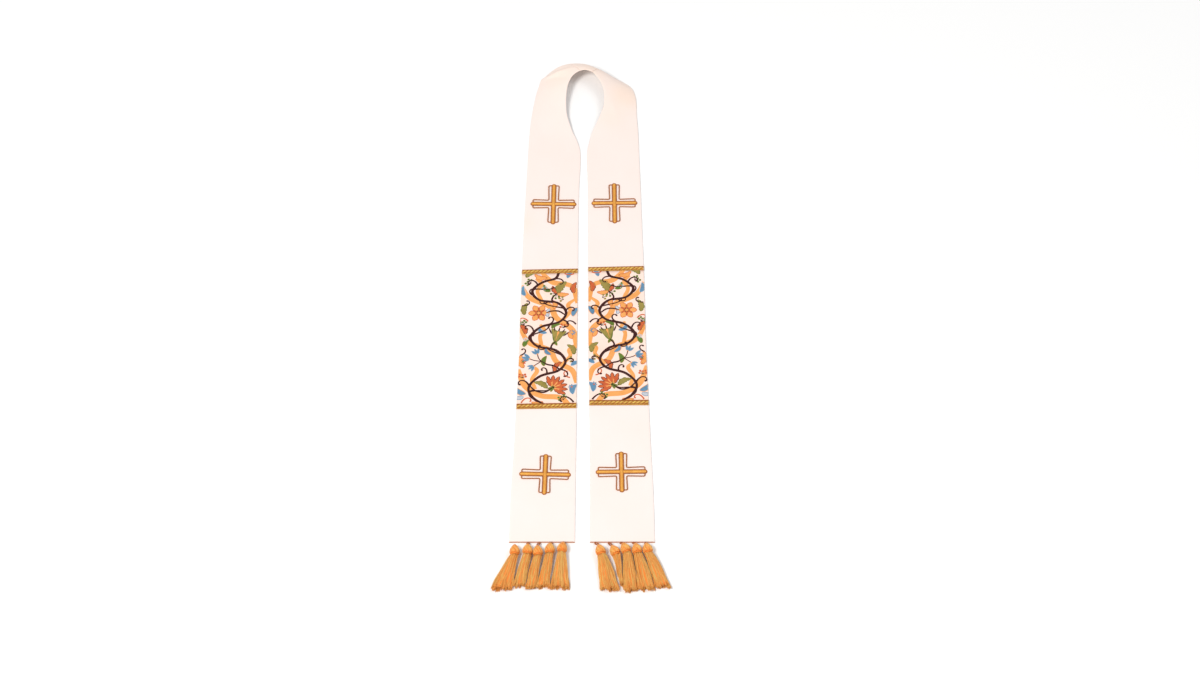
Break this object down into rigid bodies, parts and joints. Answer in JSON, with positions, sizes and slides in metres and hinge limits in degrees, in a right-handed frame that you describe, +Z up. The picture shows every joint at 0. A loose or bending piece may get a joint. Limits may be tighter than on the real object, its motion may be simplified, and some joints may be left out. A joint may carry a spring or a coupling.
{
  "type": "clerical stole",
  "caption": "Cream clerical stole laid flat, with an embroidered orphrey between gold braids on each front, outlined gold crosses and gold tassels along both hems.",
  "frame": {"origin": "middle of the underside of the whole stole as it lies, tassels included", "axes": "+X across, to the right as seen from above with the neck at the far end; +Y from the hems to the neck; +Z up off the surface"},
  "size_m": [0.3544, 1.3424, 0.037],
  "materials": {
    "cream_cloth": "fine cream cloth over an interlining, matt with a faint sheen",
    "embroidery": "coloured wool and silk threads on a pale pink-cream ground",
    "gold_braid": "twisted gold-coloured braid, soft lustre",
    "brown_cord": "dark brown couched thread",
    "gold_thread": "satin-stitched gold thread, lustrous",
    "tassel_thread": "gold rayon tassel thread, silky"
  },
  "bodies": {
    "root": {"front_left": "cream_cloth", "neck_back": "cream_cloth", "front_right": "cream_cloth", "orphrey_left": "embroidery", "braid_left_top": "gold_braid", "braid_left_bottom": "gold_braid", "orphrey_right": "embroidery", "braid_right_top": "gold_braid", "braid_right_bottom": "gold_braid", "cross_outline_left_top": "brown_cord", "cross_gold_left_top": "gold_thread", "cross_outline_right_top": "brown_cord", "cross_gold_right_top": "gold_thread", "cross_outline_left_bottom": "brown_cord", "cross_gold_left_bottom": "gold_thread", "cross_outline_right_bottom": "brown_cord", "cross_gold_right_bottom": "gold_thread", "hem_cord_left": "gold_braid", "hem_cord_right": "gold_braid", "tassel_left_1_head": "tassel_thread", "tassel_left_1_skirt": "tassel_thread", "tassel_left_2_head": "tassel_thread", "tassel_left_2_skirt": "tassel_thread", "tassel_left_2_loop": "tassel_thread", "tassel_left_3_head": "tassel_thread", "tassel_left_3_skirt": "tassel_thread", "tassel_left_3_loop": "tassel_thread", "tassel_left_4_head": "tassel_thread", "tassel_left_4_skirt": "tassel_thread", "tassel_left_4_loop": "tassel_thread", "tassel_left_5_head": "tassel_thread", "tassel_left_5_skirt": "tassel_thread", "tassel_left_5_loop": "tassel_thread", "tassel_right_1_head": "tassel_thread", "tassel_right_1_skirt": "tassel_thread", "tassel_right_1_loop": "tassel_thread", "tassel_right_2_head": "tassel_thread", "tassel_right_2_skirt": "tassel_thread", "tassel_right_2_loop": "tassel_thread", "tassel_right_3_head": "tassel_thread", "tassel_right_3_skirt": "tassel_thread", "tassel_right_3_loop": "tassel_thread", "tassel_right_4_head": "tassel_thread", "tassel_right_4_skirt": "tassel_thread", "tassel_right_4_loop": "tassel_thread", "tassel_right_5_head": "tassel_thread", "tassel_right_5_skirt": "tassel_thread", "tassel_right_5_loop": "tassel_thread"}
  },
  "joints": []
}
